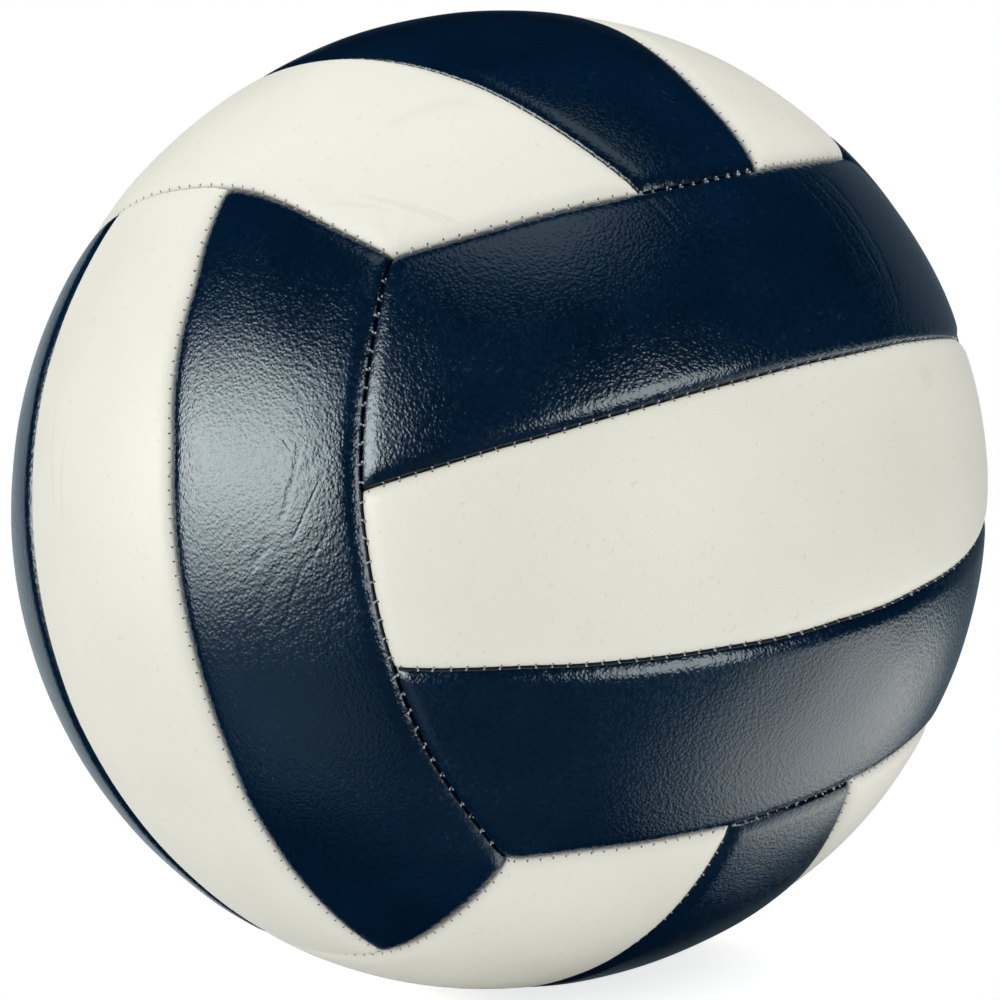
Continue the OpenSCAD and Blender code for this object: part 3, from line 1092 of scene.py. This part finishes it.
def woven_cloth(name, dark, light, count):
    """A plain weave with a number of threads in ten millimetres."""
    nodes = Nodes(name)
    look = {"Scale": count * 5, "Distortion": 0.6, "Detail Scale": 3.0}
    bands = [
        nodes.add("ShaderNodeTexWave", {"Vector": nodes.place(turn=(0.4, 0.2, turn)), **look}).outputs["Fac"]
        for turn in (0.3, 0.3 + math.pi / 2)
    ]
    weave = nodes.times(*bands)
    colour = nodes.mixed(weave, dark, light)
    return nodes.finish(Base_Color=colour, Roughness=0.8, Normal=nodes.bump(weave, 0.5, 0.00015))


# Build

MESH_STEPS = {"front": 0.8, "left": 0.8, "top": 1.0}
BACK_STEP = 1.35

NAVY = navy_leather()
WHITE = white_leather()
THREAD = sewing_thread()
FOAM = open_foam()

for group in GROUPS:
    for side in (-1, 0, 1):
        navy = (side == 0) == (group[0] in OTHER_WAY_ROUND)
        step = MESH_STEPS.get(group[0], BACK_STEP)
        piece = leather_object(group, side, NAVY if navy else WHITE, step)
        padding_object(group, side, FOAM)

thread_object("strip_seam_stitches", "strip_seam_thread", strip_seams(), THREAD)
thread_object("group_seam_stitches", "group_seam_thread", group_seams(), THREAD)

LINING = woven_cloth("lining_cloth", (0.3, 0.24, 0.16, 1), (0.62, 0.53, 0.4, 1), 16)
PATCH = woven_cloth("patch_cloth", (0.4, 0.4, 0.4, 1), (0.7, 0.7, 0.68, 1), 12)
BLADDER = soft_rubber("bladder_rubber", (0.012, 0.012, 0.013, 1), (0.03, 0.03, 0.031, 1), 0.45, 90)
VALVE = soft_rubber("valve_rubber", (0.008, 0.008, 0.009, 1), (0.02, 0.02, 0.021, 1), 0.4, 300)
CORE = soft_rubber("core_rubber", (0.02, 0.02, 0.022, 1), (0.045, 0.045, 0.048, 1), 0.5, 400)


def dress(node, material):
    """A CAD piece whose form is right keeps it and takes a material."""
    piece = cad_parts[node]
    piece.data.materials.clear()
    piece.data.materials.append(material)


for group in GROUPS:
    for side in (-1, 0, 1):
        dress(f"{group[0]}_{strip_name(group, side)}_lining", LINING)
dress("bladder", BLADDER)
dress("valve_body", VALVE)
dress("valve_core", CORE)
dress("valve_patch", PATCH)


# Light, floor and background

def toward(right, up, back):
    return RIGHT * right + UP * up + BACK * back


# Lamps: name, direction, distance, width, height and brightness
LAMPS = (
    ("left_softbox", toward(-0.85, 0.42, 0.15), 0.8, 0.7, 0.7, 0.87),
    ("overhead_softbox", toward(0.08, 0.95, 0.1), 0.9, 0.66, 0.6, 2.1),
)


def add_lamp(name, direction, distance, width, height, brightness):
    """A soft rectangular lamp that faces the ball and doesn't show in its gloss."""
    data = bpy.data.lights.new(name, "AREA")
    data.shape = "RECTANGLE"
    data.size = width
    data.size_y = height
    data.energy = brightness * math.pi * width * height
    lamp = bpy.data.objects.new(name, data)
    place = unit(direction) * distance
    turn = Vector(place).to_track_quat("Z", "Y").to_matrix().to_4x4()
    lamp.matrix_world = Matrix.Translation(Vector(place)) @ turn
    lamp.visible_glossy = False
    bpy.context.scene.collection.objects.link(lamp)


for lamp in LAMPS:
    add_lamp(*lamp)

# The soft light all round: its strength away from its bright side and on it
AMBIENT = (0.63, 1.02)
BRIGHT_SIDE = toward(-0.1, -0.98, 0.15)

# What the gloss shows where the studio has nothing pale
DARK_SIDE = 0.002

# The studio's pale surfaces, which only the ball's gloss shows. Each window has a brightness, and
# fades between two slopes along some directions
WINDOWS = (
    (8.4, (
        (toward(-1, 0, 0), 0.4, 0.74),
        (toward(0, 1, 0), -0.42, 0.12),
        (toward(0, -1, 0), -0.6, -0.2),
        (toward(0, 0, 1), -0.08, 0.14),
    )),
    (2.15, (
        (toward(1, 0, 0), 0.35, 0.75),
        (toward(0, -1, 0), 0.08, 0.36),
        (toward(0, 0, -1), -0.62, 0.25),
    )),
)

# Round cards: direction, inner and outer edge as the cosine of the angle from it, and brightness
CARDS = (
    (toward(0.5, 0.15, -0.85), 0.97, 0.86, 0.15),
    (toward(0.64, 0.0, 0.77), 0.985, 0.91, 4.7),
    (toward(-0.75, -0.58, 0.35), 0.97, 0.85, 0.26),
    (toward(0.0, -0.8, 0.6), 0.95, 0.6, 0.06),
    (toward(0.05, 0.95, 0.3), 0.98, 0.9, 0.75),
    (toward(-0.38, -0.12, -0.92), 0.97, 0.88, 0.5),
    (toward(0.0, -0.1, -1.0), 0.97, 0.9, 0.1),
)


# The gloss's colour where it is faint and where it is strong, and the strength that is full
GLOSS_TONES = ((0.55, 0.82, 1, 1), (1, 1, 0.94, 1))
GLOSS_FULL = 1.2


def studio_gloss(nodes, direction):
    """How bright the studio is in each direction, as the ball's gloss shows it."""
    mirrored = DARK_SIDE
    for glow, edges in WINDOWS:
        for way, low, high in edges:
            facing = nodes.vector("DOT_PRODUCT", direction, unit(way))
            glow = nodes.times(nodes.ranged(facing, low, high, smooth=True), glow)
        mirrored = nodes.maths("ADD", glow, mirrored)
    for card, inner, outer, brightness in CARDS:
        facing = nodes.vector("DOT_PRODUCT", direction, unit(card))
        glow = nodes.ranged(facing, outer, inner, 0, brightness, smooth=True)
        mirrored = nodes.maths("ADD", glow, mirrored)
    return mirrored


def add_world():
    world = bpy.data.worlds.new("studio")
    world.use_nodes = True
    world.cycles.sampling_method = "NONE"
    bpy.context.scene.world = world
    nodes = Nodes.of_tree(world.node_tree)
    path = nodes.add("ShaderNodeLightPath").outputs
    direction = nodes.add("ShaderNodeTexCoord").outputs["Generated"]
    mirrored = studio_gloss(nodes, direction)
    tone = nodes.mixed(nodes.ranged(mirrored, 0, GLOSS_FULL), *GLOSS_TONES)
    shown = nodes.add("ShaderNodeBackground", {"Color": grey(1)})
    gloss = nodes.add("ShaderNodeBackground", {"Color": tone, "Strength": mirrored})
    level = nodes.ranged(nodes.vector("DOT_PRODUCT", direction, unit(BRIGHT_SIDE)), -1, 1, *AMBIENT)
    soft = nodes.add("ShaderNodeBackground", {"Color": grey(1), "Strength": level})
    light = nodes.either(path["Is Glossy Ray"], soft, gloss)
    both = nodes.either(path["Is Camera Ray"], light, shown)
    nodes.add("ShaderNodeOutputWorld", {"Surface": both.outputs[0]})


add_world()

# The floor's reach, where its fading starts and ends, how much paler it is shown than it lights,
# and its two greys
FLOOR_REACH = 0.12
FLOOR_FADE = 0.02
FLOOR_CLEAR = 0.95 * FLOOR_REACH
FLOOR_LIFT = 0.75
FLOOR_GREYS = (0.86, 0.88)


def floor_material():
    """A pale floor that gives way to the white background away from the ball, and from below."""
    nodes = Nodes("pale_floor")
    tree = nodes.tree
    tree.nodes.remove(nodes.shader)
    output = tree.nodes["Material Output"]
    away = nodes.vector("LENGTH", nodes.place())
    fade = nodes.ranged(away, FLOOR_FADE, FLOOR_CLEAR, smooth=True)
    from_below = nodes.add("ShaderNodeNewGeometry").outputs["Backfacing"]
    fade = nodes.maths("MAXIMUM", fade, from_below)
    paper = nodes.noise(400, 2.0, 0.5)
    tone = nodes.mixed(paper, *map(grey, FLOOR_GREYS))
    matte = nodes.add("ShaderNodeBsdfDiffuse", {"Color": tone})
    shown = nodes.add("ShaderNodeLightPath").outputs["Is Camera Ray"]
    lift = nodes.add("ShaderNodeEmission", {"Strength": nodes.times(shown, FLOOR_LIFT)})
    both = nodes.add("ShaderNodeAddShader", {0: matte.outputs[0], 1: lift.outputs[0]})
    clear = nodes.add("ShaderNodeBsdfTransparent")
    tree.links.new(nodes.either(fade, both, clear).outputs[0], output.inputs["Surface"])
    return nodes.material


def add_floor():
    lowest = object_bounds()[0][2]
    edit = bmesh.new()
    bmesh.ops.create_circle(edit, cap_ends=True, radius=FLOOR_REACH, segments=96)
    mesh = bpy.data.meshes.new("floor")
    edit.to_mesh(mesh)
    edit.free()
    mesh.materials.append(floor_material())
    floor = bpy.data.objects.new("floor", mesh)
    floor.location.z = lowest
    floor.visible_glossy = False
    bpy.context.scene.collection.objects.link(floor)
    floor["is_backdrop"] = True


add_floor()
bpy.context.scene.view_settings.view_transform = "Standard"

boxes = {"cad": cad_box, "visual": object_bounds()}
{key: [list(map(float, corner)) for corner in box] for key, box in boxes.items()}
